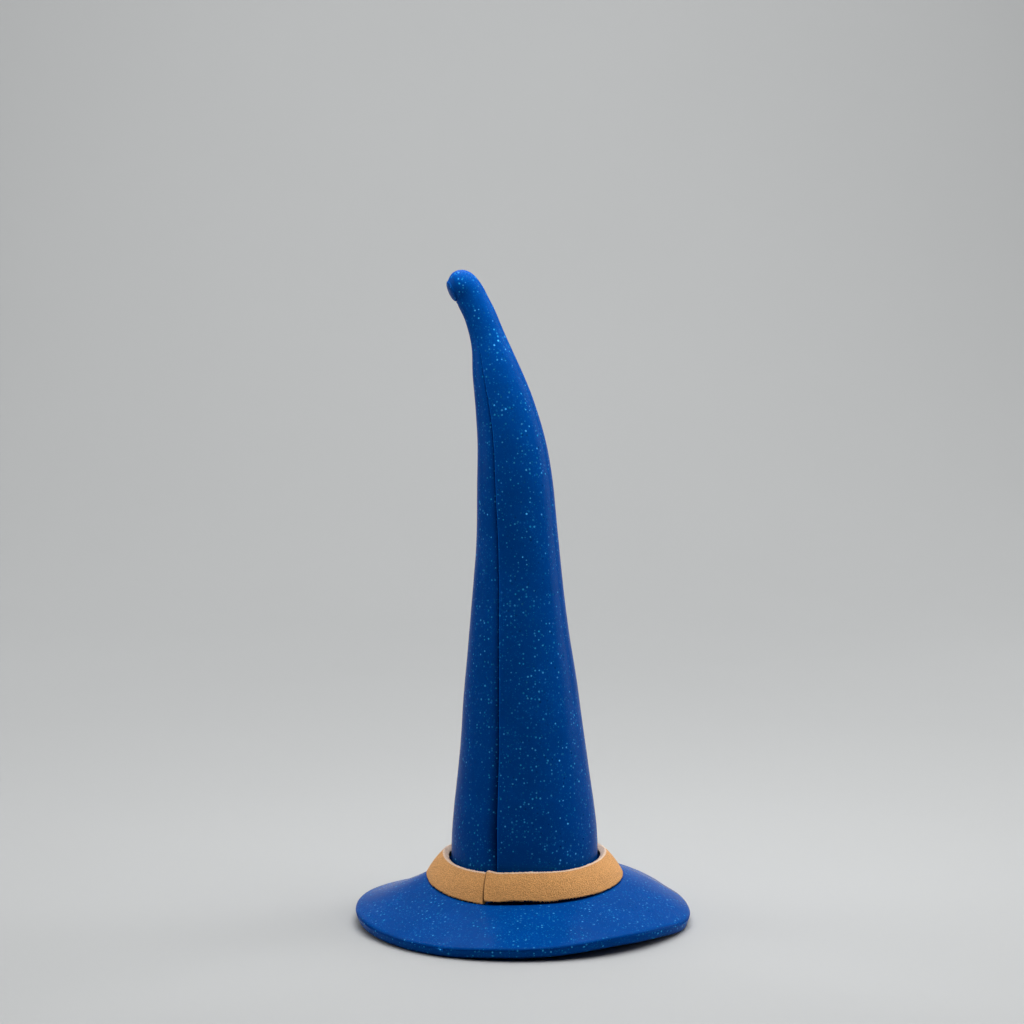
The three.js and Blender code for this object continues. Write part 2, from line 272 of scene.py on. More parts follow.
class WizardHatStage(bpy.types.PropertyGroup):
    """The camera and the lights."""

    distance: length_setting("Camera distance", "From the hat's axis to the camera, along the floor", 240.5 * MM)
    height: length_setting("Camera height", "Height of the camera over the floor", 62.39 * MM)
    side: length_setting("Camera offset", "How far the camera stands to the right of the hat's axis", -0.85 * MM)
    pitch: FloatProperty(
        name="Camera pitch", description="How far the camera looks down", subtype="ANGLE", default=radians(2.62),
    )
    roll: FloatProperty(
        name="Camera roll", description="How far the camera is turned about its view", subtype="ANGLE",
        default=radians(-0.41),
    )
    lens: FloatProperty(
        name="Focal length", description="Focal length in millimetres", default=67.3, min=10.0, unit="CAMERA",
    )
    overhead: power_setting("Overhead light", "Power of the soft light above", 0.66)
    tip_lamp: power_setting("Tip lamp", "Power of the small lamp over the tip", 0.027)
    upper_right: power_setting("Upper right lamp", "Power of the small lamp above the right side", 0.065)
    right_fill: power_setting("Right fill", "Power of the soft light on the right", 0.96)
    left_fill: power_setting("Left fill", "Power of the soft light on the left", 0.62)
    backdrop: power_setting("Backdrop light", "Power of the light on the backdrop", 4.05)


def smooth_rows(kind, rows, places, wrap=False):
    """The table's columns at places between its rows, on a Catmull-Rom curve: whole numbers land on rows."""
    table = np.array(rows, dtype=float)
    count = len(table)
    first = np.floor(places).astype(int)
    part = (places - first)[:, None]

    def row(step):
        index = first + step
        return table[index % count if wrap else np.clip(index, 0, count - 1)]

    a, b, c, d = (row(step) for step in (-1, 0, 1, 2))
    bend = 2 * a - 5 * b + 4 * c - d
    twist = 3 * b - a - 3 * c + d
    values = 0.5 * (2 * b + (c - a) * part + bend * part**2 + twist * part**3)
    return kind(*values.T)


def waves(points, pitch, height, seed):
    """Smooth random heights over the points, about as wide as pitch. All are in millimetres."""
    shift = Vector((seed * 3.1, seed * 5.7, seed * 7.3))
    flat = points.reshape(-1, 3) / pitch
    values = [noise.noise(Vector(point) + shift) for point in flat.tolist()]
    return height * np.array(values).reshape(points.shape[:-1])


def grid_faces(rows, columns, close_rows=True, close_columns=True):
    """Four-sided faces of a grid of points, row by row, that is closed where asked."""
    last_row = rows if close_rows else rows - 1
    last_column = columns if close_columns else columns - 1
    r, c = np.meshgrid(np.arange(last_row), np.arange(last_column), indexing="ij")
    up = (r + 1) % rows
    on = (c + 1) % columns
    quads = np.stack([r * columns + c, r * columns + on, up * columns + on, up * columns + c], axis=-1)
    return quads.reshape(-1, 4).tolist()


def place_object(name, data):
    """An object for a mesh, a light or a camera, in the scene."""
    thing = bpy.data.objects.new(name, data)
    bpy.context.scene.collection.objects.link(thing)
    return thing


def make_mesh(name, points, faces, *materials):
    """A smooth mesh from points in metres."""
    mesh = bpy.data.meshes.new(name)
    mesh.from_pydata(points, [], faces)
    if mesh.validate():
        raise RuntimeError(f"{name} had broken faces")
    mesh.shade_smooth()
    for material in materials:
        mesh.materials.append(material)
    return mesh


def make_piece(name, points, faces, materials, slot, *nodes):
    """A piece of the hat from points in millimetres, which stands for the given nodes."""
    piece = place_object(name, make_mesh(name, (np.asarray(points) * MM).tolist(), faces, *materials))
    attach(piece, "root")
    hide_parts(*nodes)
    return piece


def lap_columns(section, rounding):
    """Azimuths and insets of one ring of the crown, from the lap's rounded edge round to the layer under it."""
    radius = section.radius
    depth = (LAP_WIDE_SHARE + LAP_SLOT_SHARE) * section.dip
    edge = min(rounding, LAP_MOST_ROUNDING * depth)
    undercut = LAP_UNDERCUT * min(1.0, section.dip / LAP_FULL_DIP)
    quarter = np.linspace(0.0, np.pi / 2, LAP_EDGE_STEPS)
    edge_along = edge * (1 - np.cos(quarter))
    edge_inset = edge * (1 - np.sin(quarter)) - LAP_LIP * min(1.0, section.dip) * np.sin(quarter)
    share = np.linspace(0.0, 1.0, CROWN_COLUMNS)
    crowded = share - LAP_END_CROWDING * np.sin(2 * np.pi * share) / (2 * np.pi)
    round_along = 2 * np.pi * radius - edge
    body_along = edge + crowded[1:] * round_along
    from_lap = 2 * np.pi * radius - body_along
    wide = LAP_WIDE_SHARE * np.exp(-((from_lap / (LAP_WIDE * section.dip + LAP_LEAST_WIDE)) ** 2))
    slot_width = LAP_SLOT * min(1.0, LAP_LEAST_SLOT + section.dip)
    slot = LAP_SLOT_SHARE * np.exp(-((from_lap / slot_width) ** 4))
    lip = LAP_LIP * np.exp(-(((body_along - edge) / LAP_LIP_WIDTH) ** 2))
    body_inset = section.dip * (wide + slot) - lip * min(1.0, section.dip)
    # Two more points lead back under the lap, to its rounded edge.
    under_along = 2 * np.pi * radius + undercut * np.array([1.0, 0.4])
    under_inset = np.array([depth, 0.5 * (depth + edge)])
    along = np.concatenate([edge_along, body_along, under_along])
    inset = np.concatenate([edge_inset, body_inset, under_inset])
    return np.radians(section.seam) + along / radius, inset


def section_axes(section):
    """A section's directions across, away from the front and along the crown."""
    tilt, turn = radians(section.tilt), radians(section.turn)
    across = np.array([cos(tilt), 0.0, sin(tilt)])
    upright = np.array([-sin(tilt), 0.0, cos(tilt)])
    backward = np.array([0.0, 1.0, 0.0])
    away = cos(turn) * backward + sin(turn) * upright
    along = cos(turn) * upright - sin(turn) * backward
    return across, away, along


def ring(section, azimuth, radius):
    """Points round a section, at a radius for each azimuth."""
    across, away, _ = section_axes(section)
    middle = np.array([section.x, section.y, section.z])
    return middle + np.outer(radius * np.cos(azimuth), across) + np.outer(radius * np.sin(azimuth), away)


def crown_points(sizes):
    """The crown's rings, from the top of the hollow down, under the foot, and up to the tip.

    With them go the painted shade of the groove at each point, from none to full, the point that closes the tip, and
    the first and last of the rings that the lap runs through.
    """
    wall = sizes.crown_wall / MM
    rounding = sizes.lap_rounding / MM
    places = np.linspace(0, len(CROWN_ROWS) - 1, (len(CROWN_ROWS) - 1) * CROWN_RINGS_PER_ROW + 1)
    outer, shades = [], []
    for values in zip(*smooth_rows(Section, CROWN_ROWS, places)):
        section = Section(*values)
        wobble = LAP_WOBBLE * noise.noise(Vector((0.0, 0.0, section.z / LAP_WOBBLE_PITCH)))
        section = section._replace(dip=max(section.dip, 0.0), seam=section.seam + wobble)
        azimuth, inset = lap_columns(section, rounding)
        outer.append(ring(section, azimuth, section.radius - inset))
        # Painted shade: the deeper the clay is inset beside the lap, the darker the groove is painted, full at
        # GROOVE_DEPTH.
        shade = np.clip(inset / GROOVE_DEPTH, 0.0, 1.0)
        # The lap's own edge lies in the light.
        shade[:LAP_EDGE_STEPS] = 0.0
        shades.append(shade)

    last = CROWN_ROWS[-1]
    azimuth, _ = lap_columns(last, rounding)
    cap = section_axes(last)[2] * CAP_DEPTH
    for k in range(1, CAP_RINGS):
        angle = 0.5 * np.pi * k / CAP_RINGS
        radius = last.radius * cos(angle) ** CAP_FLATNESS - (CAP_CREASE if k == 1 else 0.0)
        outer.append(ring(last, azimuth, radius) + cap * sin(angle))
    end = np.array([last.x, last.y, last.z]) + cap

    places = np.linspace(0, HOLLOW_ROWS - 1, (HOLLOW_ROWS - 1) * HOLLOW_RINGS_PER_ROW + 1)
    inner = []
    for values in zip(*smooth_rows(Section, CROWN_ROWS, places)):
        section = Section(*values)
        azimuth, _ = lap_columns(section._replace(dip=0.0), rounding)
        inner.append(ring(section, azimuth, section.radius - wall))

    foot = CROWN_ROWS[0]
    azimuth, inset = lap_columns(foot, rounding)
    foot_rings = []
    for angle in np.linspace(0, np.pi, FOOT_STEPS):
        blend = 0.5 - 0.5 * cos(angle)
        across = foot.radius - inset * blend - wall * (1 - blend)
        drop = FOOT_ROUNDING * sin(angle) ** 0.5 if 0 < angle < np.pi else 0.0
        foot_rings.append(ring(foot._replace(z=foot.z + FOOT_ROUNDING - drop), azimuth, across))
    inner[0] = inner[0] + np.array([0.0, 0.0, FOOT_ROUNDING])
    outer[0] = outer[0] + np.array([0.0, 0.0, FOOT_ROUNDING])
    rings = np.array(inner[::-1] + foot_rings[1:-1] + outer)
    groove = np.zeros(rings.shape[:2])
    lap_start = len(rings) - len(outer)
    lap_stop = lap_start + len(shades)
    groove[lap_start:lap_stop] = shades
    return rings, groove, end, (lap_start, lap_stop - 1)


def make_crown(sizes, material, highlight_edge_material):
    """The rolled cone. The lap's exposed edge has a material of its own, a lighter copy of the clay that paints a
    highlight.
    """
    rings, groove, end, (lap_start, lap_stop) = crown_points(sizes)
    count, columns, _ = rings.shape
    axis = rings.mean(axis=1, keepdims=True)
    outward = rings - axis
    outward /= np.linalg.norm(outward, axis=-1, keepdims=True)
    height = sizes.hand_waves / MM
    push = waves(rings, CROWN_WAVE_PITCH, height, 1)
    push += waves(rings, CROWN_RIPPLE_PITCH, CROWN_RIPPLE_SHARE * height, 2)
    rings = rings + outward * push[..., None]
    points = rings.reshape(-1, 3).tolist() + [list(HOLLOW_END), end.tolist()]
    faces = grid_faces(count, columns, close_rows=False)
    hollow_end, tip_end = count * columns, count * columns + 1
    last = (count - 1) * columns
    for c in range(columns):
        on = (c + 1) % columns
        faces.append([hollow_end, on, c])
        faces.append([tip_end, last + c, last + on])
    piece = make_piece("crown_skin", points, faces, [material, highlight_edge_material], "glitter_clay", "crown")
    # The groove's painted shade goes with the points, and the clay's material darkens by it.
    marks = piece.data.attributes.new("groove", "FLOAT", "POINT")
    marks.data.foreach_set("value", np.append(groove.ravel(), (0.0, 0.0)))
    # The lap's rounded edge takes the lighter clay, with its painted highlight.
    for r in range(lap_start, lap_stop):
        for c in range(LAP_EDGE_STEPS):
            piece.data.polygons[r * columns + c].material_index = 1


def round_rows(kind, rows, step, azimuths):
    """The values at azimuths of a table that goes once round the hat."""
    return smooth_rows(kind, rows, (azimuths - FIRST_AZIMUTH) / step, wrap=True)


def rounded(before, corner, after, size):
    """Points of an arc that rounds a corner of a profile off, from three arrays of [radius, height] pairs."""
    toward = (before - corner) / np.linalg.norm(before - corner, axis=-1, keepdims=True)
    away = (after - corner) / np.linalg.norm(after - corner, axis=-1, keepdims=True)
    start = corner + toward * size
    stop = corner + away * size
    arc = []
    for share in np.linspace(0.0, 1.0, CORNER_STEPS):
        arc.append((1 - share) ** 2 * start + 2 * share * (1 - share) * corner + share**2 * stop)
    return arc


def brim_profile(sizes, azimuths):
    """The brim's cross-sections, one for each azimuth: a list of arrays of [radius, height] pairs.

    With them go the rim's reach at each azimuth, and the first and last of the rows of faces on the cut rim.
    """
    thickness = sizes.brim_thickness / MM
    corner = sizes.rim_rounding / MM
    shape = round_rows(BrimRow, BRIM_ROWS, BRIM_STEP, azimuths)
    height = round_rows(BandRow, BAND_ROWS, BAND_STEP, azimuths).low - BAND_ABOVE_BRIM
    lift = np.maximum(shape.lift, 0.0)
    reach = shape.reach
    slope = reach - BAND_LOW_RADIUS

    def pair(radius, level):
        return np.stack(np.broadcast_arrays(radius, level), axis=-1).astype(float)

    def top(inward):
        rim = lift + thickness * shape.rim
        return rim + (height - rim) * inward * (1 + shape.bow - shape.bow * inward)

    def under(inward):
        flat = np.clip((inward * slope - RIM_UNDERCUT - FOOT_WIDTH) / UNDERSIDE_BEND, 0.0, 1.0)
        ease = flat * flat * (3 - 2 * flat)
        return lift + (top(inward) - thickness - lift) * ease

    foot = reach - RIM_UNDERCUT
    bore_low = pair(BORE_RADIUS, height + BORE_LOWER_EDGE)
    bore_high = pair(BORE_RADIUS, height + COLLAR_HEIGHT)
    collar_top = pair(COLLAR_TOP_RADIUS, height + COLLAR_HEIGHT)
    collar_foot = pair(COLLAR_FOOT_RADIUS, height)
    under_inner = pair(BAND_LOW_RADIUS, under(np.ones_like(slope)))
    foot_inner = pair(foot - FOOT_WIDTH, lift)
    foot_outer = pair(foot, lift)
    rim_top = pair(reach, top(np.zeros_like(slope)))
    slope_start = pair(reach - SLOPE_SAMPLE * slope, top(np.full_like(slope, SLOPE_SAMPLE)))

    profile = rounded(bore_high, bore_low, under_inner, corner)
    for share in np.linspace(0.0, 1.0, BORE_STEPS)[1:-1]:
        profile.append(bore_low + (under_inner - bore_low) * share)
    inner_share = 1.0
    outer_share = (RIM_UNDERCUT + FOOT_WIDTH) / slope
    for share in np.linspace(0.0, 1.0, SLOPE_STEPS):
        inward = inner_share + (outer_share - inner_share) * share
        profile.append(pair(reach - inward * slope, under(inward)))
    rim_start = len(profile)
    profile.extend(rounded(foot_inner, foot_outer, rim_top, LOWER_ROUNDING_SHARE * corner))
    for share in np.linspace(0.0, 1.0, RIM_STEPS)[1:-1]:
        bulge = RIM_BULGE * np.sin(np.pi * share)
        profile.append(foot_outer + (rim_top - foot_outer) * share + np.array([bulge, 0.0]))
    rim_stop = len(profile) + 1
    profile.extend(rounded(foot_outer, rim_top, slope_start, corner))
    start = BEYOND_ROUNDING * corner / slope
    for share in np.linspace(0.0, 1.0, SLOPE_STEPS):
        inward = start + (1 - start) * share
        profile.append(pair(reach - inward * slope, top(inward)))
    before = pair(BAND_LOW_RADIUS, height)
    profile.extend(rounded(before, collar_foot, collar_top, COLLAR_FOOT_ROUNDING))
    profile.extend(rounded(collar_foot, collar_top, bore_high, COLLAR_TOP_ROUNDING))
    profile.extend(rounded(collar_top, bore_high, bore_low, COLLAR_TOP_ROUNDING))
    return profile, reach, (rim_start, rim_stop)


def make_brim(sizes, material, rim_material):
    """The sloping brim with its collar. The cut rim has a material of its own."""
    azimuths = FIRST_AZIMUTH + np.arange(BRIM_COLUMNS) * FULL_TURN / BRIM_COLUMNS
    profile, reach, (rim_start, rim_stop) = brim_profile(sizes, azimuths)
    angle = np.radians(azimuths)
    rings = []
    for pairs in profile:
        radius, level = pairs[:, 0], pairs[:, 1]
        middle = CROWN_X * np.clip((reach - radius) / (reach - BAND_LOW_RADIUS), 0.0, 1.0)
        rings.append(np.stack([middle + radius * np.cos(angle), radius * np.sin(angle), level], axis=-1))
    rings = np.array(rings)
    height = sizes.hand_waves / MM
    radius = np.hypot(rings[..., 0], rings[..., 1])
    free = np.clip((radius - BAND_LOW_RADIUS) / BRIM_WAVE_FADE, 0.0, 1.0)
    free = free * np.clip(rings[..., 2] / BRIM_WAVE_RISE, 0.0, 1.0)
    flat = rings * np.array([1, 1, 0])
    rings[..., 2] += waves(flat, BRIM_WAVE_PITCH, BRIM_WAVE_SHARE * height, 3) * free
    nicks = waves(rings, NICK_PITCH, NICK_SHARE * height, 4)
    nicks *= np.clip((radius - NICK_START) / NICK_FADE, 0.0, 1.0)
    for crumb in CRUMBS:
        place = radians(crumb.azimuth)
        along = CRUMB_RADIUS * np.sin(angle - place)
        off = np.hypot(along / crumb.width, (rings[..., 2] - crumb.height) / crumb.depth)
        near = np.cos(angle - place) > 0
        near = near * np.clip((radius - CRUMB_START) / CRUMB_FADE, 0.0, 1.0)
        nicks += crumb.push * np.exp(-(off**4)) * near
    rings[..., 0] += nicks * np.cos(angle)
    rings[..., 1] += nicks * np.sin(angle)
    count, columns, _ = rings.shape
    faces = [face[::-1] for face in grid_faces(count, columns)]
    piece = make_piece(
        "brim_sheet", rings.reshape(-1, 3), faces, [material, rim_material], "glitter_clay", "brim"
    )
    for index in range(rim_start * columns, rim_stop * columns):
        piece.data.polygons[index].material_index = 1


def band_profile(sizes, low, high):
    """The strip's cross-sections: arrays of [radius, height] pairs, and each point's share of the way up.

    With them go three rows of faces: where the top edge, painted pale as a highlight, starts, where the cut inner
    side, painted darker as shade, starts, and where that stops.
    """
    thickness = sizes.band_thickness / MM
    rise = high - low
    lean = np.arctan2(rise, BAND_LOW_RADIUS - BAND_HIGH_RADIUS)
    outward = np.stack([np.sin(lean), np.cos(lean)], axis=-1)
    upward = np.stack([-np.cos(lean), np.sin(lean)], axis=-1)
    length = np.hypot(rise, BAND_LOW_RADIUS - BAND_HIGH_RADIUS)[:, None]
    start = np.stack([np.full_like(low, BAND_LOW_RADIUS), low], axis=-1)
    trim = thickness * (outward[:, 1:2] / outward[:, 0:1])

    def at(share, depth):
        bulge = BAND_BULGE * 4 * share * (1 - share)
        along = share * length + trim * (depth / thickness) * (1 - share)
        return start + upward * along + outward * (bulge - depth)

    def corner(middle, growth, angle, inside):
        depth = BAND_CORNER * (1 - cos(angle))
        return at(middle + growth * sin(angle), thickness - depth if inside else depth)

    edge, high_edge = BAND_EDGE_SHARE, 1 - BAND_EDGE_SHARE
    opening = np.linspace(0, np.pi / 2, BAND_CORNER_STEPS)
    closing = opening[::-1]
    profile, shares = [], []
    for share in np.linspace(edge, high_edge, BAND_FACE_STEPS):
        profile.append(at(share, 0.0))
        shares.append(share)
    pale_row = len(profile) - 2
    profile.extend([corner(high_edge, edge, angle, False) for angle in opening[1:]])
    profile.extend([corner(high_edge, edge, angle, True) for angle in closing])
    shares.extend([1.0] * (len(profile) - len(shares)))
    cut_row = len(profile) - 2
    for share in np.linspace(high_edge, edge, BAND_INNER_STEPS)[1:]:
        profile.append(at(share, thickness))
        shares.append(share)
    profile.extend([corner(edge, -edge, angle, True) for angle in opening[1:]])
    last_cut_row = len(profile) - 1
    profile.extend([corner(edge, -edge, angle, False) for angle in closing[:-1]])
    shares.extend([0.0] * (len(profile) - len(shares)))
    return profile, shares, (pale_row, cut_row, last_cut_row)


def make_band(sizes, material, shaded_cut_material, highlight_edge_material):
    """The strip of suede, from one end at the joint round to the other. Its cut sides have their own materials: a
    darker copy of the suede as painted shade on the inner side and the ends, and a pale top edge as a painted
    highlight.
    """
    gap = np.degrees(sizes.joint_gap / MM / BAND_LOW_RADIUS)
    along = np.linspace(gap / 2, FULL_TURN - gap / 2, BAND_COLUMNS)
    low_azimuth = JOINT_LOW_AZIMUTH + along
    high_azimuth = JOINT_HIGH_AZIMUTH + along
    from_start = np.radians(along) * BAND_LOW_RADIUS
    from_end = np.radians(FULL_TURN - along) * BAND_LOW_RADIUS
    wrapped = (low_azimuth - FIRST_AZIMUTH) % FULL_TURN + FIRST_AZIMUTH
    lift = END_LIFT * np.exp(-((from_start / END_LIFT_LENGTH) ** 2))
    sag = END_SAG * np.exp(-((from_end / END_SAG_LENGTH) ** 2))
    low = round_rows(BandRow, BAND_ROWS, BAND_STEP, low_azimuth).low
    high = round_rows(BandRow, BAND_ROWS, BAND_STEP, high_azimuth).high
    low = low + np.interp(wrapped, *zip(*WAVE)) + lift - sag
    high = high + HIGH_LIFT_SHARE * lift
    profile, shares, (pale_row, cut_row, last_cut_row) = band_profile(sizes, low, high)

    rings = []
    for pairs, share in zip(profile, shares):
        angle = np.radians(low_azimuth + (high_azimuth - low_azimuth) * share**JOINT_BOW)
        radius = pairs[:, 0] + END_RISE * np.exp(-((from_start / END_RISE_LENGTH) ** 2))
        rings.append(np.stack([CROWN_X + radius * np.cos(angle), radius * np.sin(angle), pairs[:, 1]], axis=-1))
    rings = np.array(rings)
    share = np.array(shares)[:, None]
    near_low = np.clip(1 - share / LOW_FRAY_REACH, 0.0, 1.0)
    near_high = np.clip(1 - (1 - share) / HIGH_FRAY_REACH, 0.0, 1.0)
    angle = np.arctan2(rings[..., 1], rings[..., 0] - CROWN_X)
    outward = np.stack([NAP_OUT * np.cos(angle), NAP_OUT * np.sin(angle), np.full_like(angle, NAP_UP)], axis=-1)
    rings = rings + outward * waves(rings, NAP_PITCH, NAP_HEIGHT, 5)[..., None]
    rings[..., 2] += near_low * waves(rings, FRAY_PITCH, FRAY_DEPTH, 6)
    rings[..., 2] += near_high * waves(rings, FRAY_PITCH, HIGH_FRAY_SHARE * FRAY_DEPTH, 7)

    count, columns, _ = rings.shape
    faces = grid_faces(count, columns, close_columns=False)
    side_faces = len(faces)
    faces.append([r * columns for r in range(count)])
    faces.append([r * columns + columns - 1 for r in range(count)][::-1])
    piece = make_piece(
        "suede_band", rings.reshape(-1, 3), faces, [material, shaded_cut_material, highlight_edge_material], "tan_suede", "hat_band"
    )
    # The inner side and the ends take the darker copy with painted shade; the top edge takes the pale one with a
    # painted highlight.
    for index, polygon in enumerate(piece.data.polygons):
        row = index // (columns - 1)
        cut = index >= side_faces or cut_row <= row < last_cut_row
        polygon.material_index = 1 if cut else 2 if pale_row <= row < cut_row else 0


def new_group(name, inputs, outputs):
    """An empty node group and its two end nodes. Each of its sockets is a number, apart from Normal."""
    group = bpy.data.node_groups.new(name, "ShaderNodeTree")
    for label, value in inputs.items():
        socket = group.interface.new_socket(name=label, in_out="INPUT", socket_type="NodeSocketFloat")
        socket.default_value = value
    for label in outputs:
        kind = "NodeSocketVector" if label == "Normal" else "NodeSocketFloat"
        group.interface.new_socket(name=label, in_out="OUTPUT", socket_type=kind)
    return group, group.nodes.new("NodeGroupInput"), group.nodes.new("NodeGroupOutput")


def put_out(group, result, **sockets):
    """Links sockets to the group's outputs."""
    for label, socket in sockets.items():
        group.links.new(socket, result.inputs[label])


def add_node(tree, kind, settings=None, **values):
    """A node with its settings, and constants or links on its named inputs."""
    node = tree.nodes.new(kind)
    for label, value in (settings or {}).items():
        setattr(node, label, value)
    for label, value in values.items():
        key = int(label[1:]) if label[0] == "i" and label[1:].isdigit() else label.replace("_", " ")
        socket = node.inputs[key]
        if isinstance(value, bpy.types.NodeSocket):
            tree.links.new(value, socket)
        else:
            socket.default_value = value
    return node


def math_node(tree, operation, first, second=0.0, third=0.0):
    """The result of a Math node on sockets or numbers."""
    return add_node(tree, "ShaderNodeMath", {"operation": operation}, i0=first, i1=second, i2=third).outputs[0]


def map_range(tree, value, low, high, to_low, to_high, smooth=False):
    """The value's place between low and high, moved to between to_low and to_high."""
    kind = "SMOOTHSTEP" if smooth else "LINEAR"
    node = add_node(
        tree, "ShaderNodeMapRange", {"interpolation_type": kind},
        Value=value, From_Min=low, From_Max=high, To_Min=to_low, To_Max=to_high,
    )
    return node.outputs["Result"]


def mix_colours(tree, factor, first, second):
    """The first colour, turned into the second by the factor. Each is a socket or a value."""
    node = tree.nodes.new("ShaderNodeMix")
    node.data_type = "RGBA"
    for socket, value in zip((node.inputs[0], node.inputs[6], node.inputs[7]), (factor, first, second)):
        if isinstance(value, bpy.types.NodeSocket):
            tree.links.new(value, socket)
        else:
            socket.default_value = value
    return node.outputs[2]


def noise_value(tree, place, scale, detail, **shape):
    """Smooth random values over the surface."""
    return add_node(tree, "ShaderNodeTexNoise", Vector=place, Scale=scale, Detail=detail, **shape).outputs["Fac"]


def object_point(tree):
    return tree.nodes.new("ShaderNodeTexCoord").outputs["Object"]


def glitter_group():
    """Flat glitter grains set in clay: where they are, how bright each is, and which way each faces."""
    name = "Glitter grains"
    if name in bpy.data.node_groups:
        return bpy.data.node_groups[name]
    group, given, result = new_group(
        name,
        {"Spacing": 0.00066, "Radius": 0.00015, "Patch Size": 0.004, "Lean": 0.7},
        ("Grain", "Brightness", "Hue", "Normal"),
    )
    place = object_point(group)
    scale = math_node(group, "DIVIDE", 1.0, given.outputs["Spacing"])
    cells = add_node(
        group, "ShaderNodeTexVoronoi", {"voronoi_dimensions": "3D", "feature": "F1"},
        Vector=place, Scale=scale, Randomness=1.0,
    )
    # The grains are larger in some patches than in others.
    patch_scale = math_node(group, "DIVIDE", 1.0, given.outputs["Patch Size"])
    swell = map_range(group, noise_value(group, place, patch_scale, 2.0), 0.35, 0.62, 0.8, 1.1)
    radius = math_node(group, "DIVIDE", given.outputs["Radius"], given.outputs["Spacing"])
    reach = math_node(group, "MULTIPLY", radius, swell)
    soft = math_node(group, "MULTIPLY", reach, 0.4)
    grain = map_range(group, cells.outputs["Distance"], reach, soft, 0.0, 1.0, smooth=True)
    parts = add_node(group, "ShaderNodeSeparateColor", Color=cells.outputs["Color"])
    # Most grains are faint, and a few are bright.
    bright = math_node(group, "POWER", parts.outputs[0], 2.4)
    bright = map_range(group, bright, 0.0, 1.0, 0.04, 0.85)

    centred = add_node(
        group, "ShaderNodeVectorMath", {"operation": "SUBTRACT"}, i0=cells.outputs["Color"], i1=(0.5, 0.5, 0.5)
    )
    amount = math_node(group, "MULTIPLY", grain, given.outputs["Lean"])
    leaned = add_node(
        group, "ShaderNodeVectorMath", {"operation": "SCALE"}, i0=centred.outputs[0], Scale=amount
    )
    facing = group.nodes.new("ShaderNodeNewGeometry").outputs["Normal"]
    summed = add_node(
        group, "ShaderNodeVectorMath", {"operation": "ADD"}, i0=facing, i1=leaned.outputs[0]
    )
    unit = add_node(group, "ShaderNodeVectorMath", {"operation": "NORMALIZE"}, i0=summed.outputs[0])
    put_out(group, result, Grain=grain, Brightness=bright, Hue=parts.outputs[1], Normal=unit.outputs[0])
    return group


def worked_group():
    """The marks of hand working in clay: fine pits, soft waves and cloudy tone."""
    name = "Hand-worked clay"
    if name in bpy.data.node_groups:
        return bpy.data.node_groups[name]
    group, given, result = new_group(name, {"Pit Size": 0.00022, "Wave Size": 0.0016}, ("Height", "Tone"))
    place = object_point(group)
    pit_scale = math_node(group, "DIVIDE", 1.0, given.outputs["Pit Size"])
    wave_scale = math_node(group, "DIVIDE", 1.0, given.outputs["Wave Size"])
    pits = noise_value(group, place, pit_scale, 3.0)
    height = math_node(group, "MULTIPLY_ADD", pits, 0.25, noise_value(group, place, wave_scale, 2.0))
    tone_scale = math_node(group, "MULTIPLY", wave_scale, 0.4)
    tone = map_range(group, noise_value(group, place, tone_scale, 4.0), 0.3, 0.7, 0.0, 1.0)
    put_out(group, result, Height=height, Tone=tone)
    return group


def new_material(name):
    """A material with its node tree and its shader."""
    material = bpy.data.materials.new(name)
    material.use_nodes = True
    tree = material.node_tree
    return material, tree, tree.nodes["Principled BSDF"]


def place_group(tree, group, **values):
    """A group placed in a material, with its own values."""
    node = tree.nodes.new("ShaderNodeGroup")
    node.node_tree = group
    for label, value in values.items():
        node.inputs[label.replace("_", " ")].default_value = value
    return node


def colour(values, gain=1.0):
    """A node's colour from three values, made lighter by gain."""
    return (*[min(1.0, gain * value) for value in values], 1.0)


# How far the grains lean out of the surface, the size of the dust against the grains, and how much darker and
# lighter the clay is in its clouds.
GRAIN_LEAN = 0.7
DUST_SIZE = 0.45
CLAY_DARK = 0.93
CLAY_PALE = 1.05

# How deep the pits are, in metres, in the rolled clay and in the pressed brim.
ROLLED_PITS = 0.00003
PRESSED_PITS = 0.00004


def shown(tree, grains, share):
    """How strongly the grains show: none between them, and each by its own brightness."""
    light = math_node(tree, "MULTIPLY", grains.outputs["Grain"], grains.outputs["Brightness"])
    return math_node(tree, "MULTIPLY", light, share)


